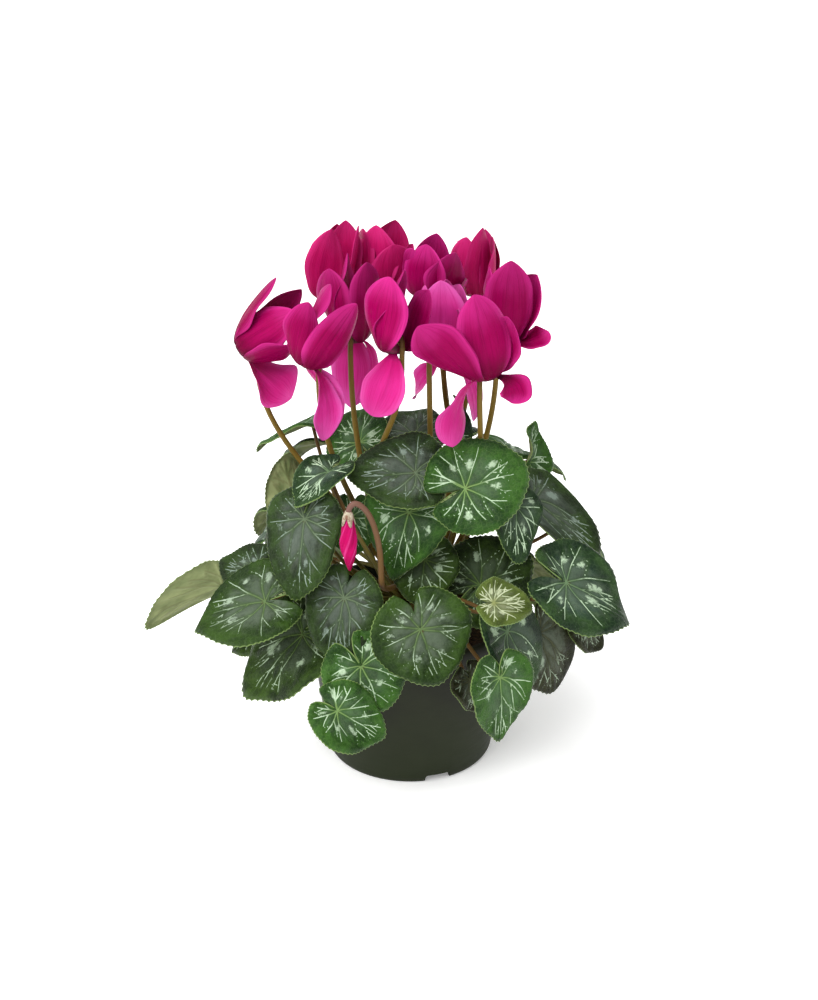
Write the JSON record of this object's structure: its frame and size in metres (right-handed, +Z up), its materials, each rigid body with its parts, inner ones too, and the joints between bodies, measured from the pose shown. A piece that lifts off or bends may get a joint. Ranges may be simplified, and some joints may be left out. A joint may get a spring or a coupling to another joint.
{
  "type": "potted cyclamen",
  "caption": "Flowering cyclamen house plant in a round plastic nursery pot: marbled heart-shaped leaves on long stalks and nodding blooms with swept-back petals.",
  "frame": {"origin": "on the surface the pot stands on, under the middle of the plant's whole spread; the pot's axis is 15.1 mm along +X and 1.3 mm along +Y from it", "axes": "+Z up, along the pot's axis; -Y is the front, the side the picture shows; +X is the viewer's right"},
  "size_m": [0.3365, 0.2985, 0.3861],
  "materials": {
    "pot": "dark olive-grey moulded plastic, slightly scuffed",
    "soil": "moist peat with bark crumbs",
    "tuber": "corky brown skin",
    "stem": "smooth, faintly glossy plant skin, olive below and brown above",
    "leaf": "waxy dark green blade with silver marbling and a pale margin",
    "petal": "velvety magenta petal with a satin sheen"
  },
  "bodies": {
    "root": {"pot": "pot", "soil": "soil", "tuber": "tuber", "stems": "stem", "bud": "petal", "bloom_far_left": "petal", "bloom_front_left": "petal", "bloom_top_left": "petal", "bloom_left_centre": "petal", "bloom_centre": "petal", "bloom_top_centre": "petal", "bloom_top_middle": "petal", "bloom_pink_centre": "petal", "bloom_front_right": "petal", "bloom_top_right": "petal", "bloom_right": "petal", "bloom_back_low": "petal", "leaf_front_lowest": "leaf", "leaf_front_right": "leaf", "leaf_young_right": "leaf", "leaf_front_centre": "leaf", "leaf_front_low": "leaf", "leaf_crown_right": "leaf", "leaf_crown_front": "leaf", "leaf_left_small": "leaf", "leaf_centre": "leaf", "leaf_left_grey": "leaf", "leaf_right_mid": "leaf", "leaf_right_silver": "leaf", "leaf_under_bud": "leaf", "leaf_left_long": "leaf", "leaf_bottom_left": "leaf", "leaf_right_big": "leaf", "leaf_right_upper": "leaf", "leaf_right_small": "leaf", "leaf_right_low": "leaf", "leaf_left_far": "leaf", "leaf_left_behind": "leaf", "leaf_centre_right": "leaf", "leaf_centre_deep": "leaf", "leaf_behind_bud": "leaf", "leaf_left_upper": "leaf", "leaf_left_pale": "leaf", "leaf_left_edge": "leaf", "leaf_back_left_top": "leaf", "leaf_back_centre_top": "leaf", "leaf_back_right_top": "leaf", "leaf_right_top_curl": "leaf", "leaf_pot_shade": "leaf", "leaf_left_low": "leaf", "leaf_back_right_high": "leaf", "leaf_back_high": "leaf", "leaf_back_left_high": "leaf", "leaf_side_right": "leaf", "leaf_side_left": "leaf", "leaf_back_right_mid": "leaf", "leaf_back_mid": "leaf", "leaf_back_left_mid": "leaf", "leaf_back_low_right": "leaf", "leaf_back_low_left": "leaf"}
  },
  "joints": []
}
